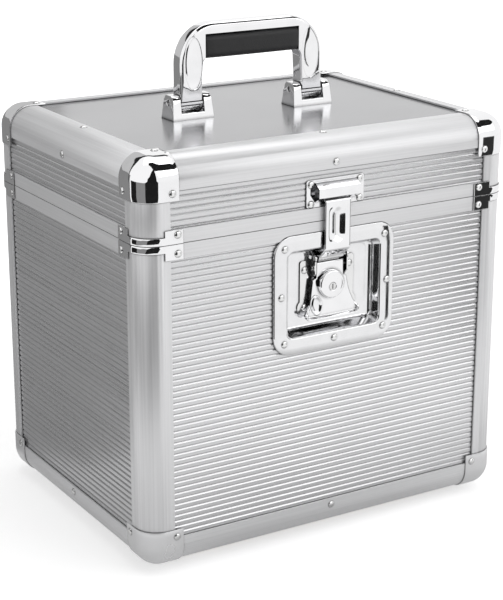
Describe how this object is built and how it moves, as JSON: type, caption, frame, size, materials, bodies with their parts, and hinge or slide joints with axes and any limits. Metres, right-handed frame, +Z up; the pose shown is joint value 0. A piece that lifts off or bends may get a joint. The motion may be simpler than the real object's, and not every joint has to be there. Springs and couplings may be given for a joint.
{
  "type": "record carrying case",
  "caption": "Aluminium-edged record carrying case with ribbed sides, hinged lid, folding carrying handle and a recessed key latch with lever and hasp.",
  "frame": {"origin": "on the floor under the middle of the case, level with the undersides of the feet", "axes": "+Z up, -Y towards the latch side, +X to the right seen from the latch side"},
  "size_m": [0.361, 0.287, 0.4255],
  "materials": {
    "plywood": "plain",
    "ribbed_aluminium": "ribbed, satin",
    "satin_aluminium": "satin",
    "brushed_aluminium": "brushed",
    "chrome": "polished",
    "satin_chrome": "satin",
    "bright_steel": "plated",
    "brass_plug": "nickel plated",
    "black_grip": "matt",
    "black_rubber": "matt",
    "lining_fabric": "short pile"
  },
  "bodies": {
    "case_body": {"body_front_panel": "plywood", "body_front_skin": "ribbed_aluminium", "body_front_rim": "satin_aluminium", "body_back_panel": "plywood", "body_back_skin": "ribbed_aluminium", "body_back_rim": "satin_aluminium", "body_left_panel": "plywood", "body_left_skin": "ribbed_aluminium", "body_left_rim": "satin_aluminium", "body_right_panel": "plywood", "body_right_skin": "ribbed_aluminium", "body_right_rim": "satin_aluminium", "bottom_front_edge": "satin_aluminium", "bottom_back_edge": "satin_aluminium", "bottom_left_edge": "satin_aluminium", "bottom_right_edge": "satin_aluminium", "body_front_left_post": "satin_aluminium", "body_front_right_post": "satin_aluminium", "body_back_left_post": "satin_aluminium", "body_back_right_post": "satin_aluminium", "bottom_panel": "plywood", "body_lining": "lining_fabric", "bottom_corners": "satin_aluminium", "body_rim_corners": "chrome", "body_rivets": "bright_steel", "feet": "black_rubber", "latch_dish": "satin_chrome", "latch_base": "bright_steel", "latch_pins": "bright_steel", "body_hinge_leaves": "bright_steel", "hinge_pins": "bright_steel"},
    "lid": {"lid_front_panel": "plywood", "lid_front_edge": "satin_aluminium", "lid_front_rim": "satin_aluminium", "lid_back_panel": "plywood", "lid_back_edge": "satin_aluminium", "lid_back_rim": "satin_aluminium", "lid_left_panel": "plywood", "lid_left_edge": "satin_aluminium", "lid_left_rim": "satin_aluminium", "lid_right_panel": "plywood", "lid_right_edge": "satin_aluminium", "lid_right_rim": "satin_aluminium", "lid_skins": "ribbed_aluminium", "lid_posts": "satin_aluminium", "lid_corners": "chrome", "lid_rim_corners": "chrome", "lid_rivets": "bright_steel", "lid_lining": "lining_fabric", "top_panel": "brushed_aluminium", "catch": "chrome", "lid_hinge_leaves": "bright_steel", "handle_brackets": "chrome", "handle_pins": "bright_steel"},
    "handle": {"handle_bail": "chrome", "handle_grip": "black_grip"},
    "lever": {"latch_lever": "chrome", "lock_barrel": "chrome"},
    "key_plug": {"lock_plug": "brass_plug"},
    "hasp": {"hasp": "chrome"}
  },
  "joints": [
    {"name": "lid_hinge", "type": "hinge", "parent": "case_body", "child": "lid", "pos_m": [0, 0.1408, 0.2797], "axis": [-1, 0, 0], "range_deg": [0, 100]},
    {"name": "handle_fold", "type": "hinge", "parent": "lid", "child": "handle", "pos_m": [0, 0, 0.3597], "axis": [1, 0, 0], "range_deg": [-85, 85]},
    {"name": "latch_lift", "type": "hinge", "parent": "case_body", "child": "lever", "pos_m": [0, -0.1285, 0.238], "axis": [-1, 0, 0], "range_deg": [0, 45]},
    {"name": "hasp_swing", "type": "hinge", "parent": "case_body", "child": "hasp", "pos_m": [0, -0.1305, 0.2465], "axis": [1, 0, 0], "range_deg": [0, 27]},
    {"name": "key_turn", "type": "hinge", "parent": "lever", "child": "key_plug", "pos_m": [0, -0.1352, 0.2214], "axis": [0, -1, 0], "range_deg": [0, 90]}
  ],
  "couplings": [
    {"joint": "hasp_swing", "follows": "latch_lift", "ratio": 0.6}
  ]
}
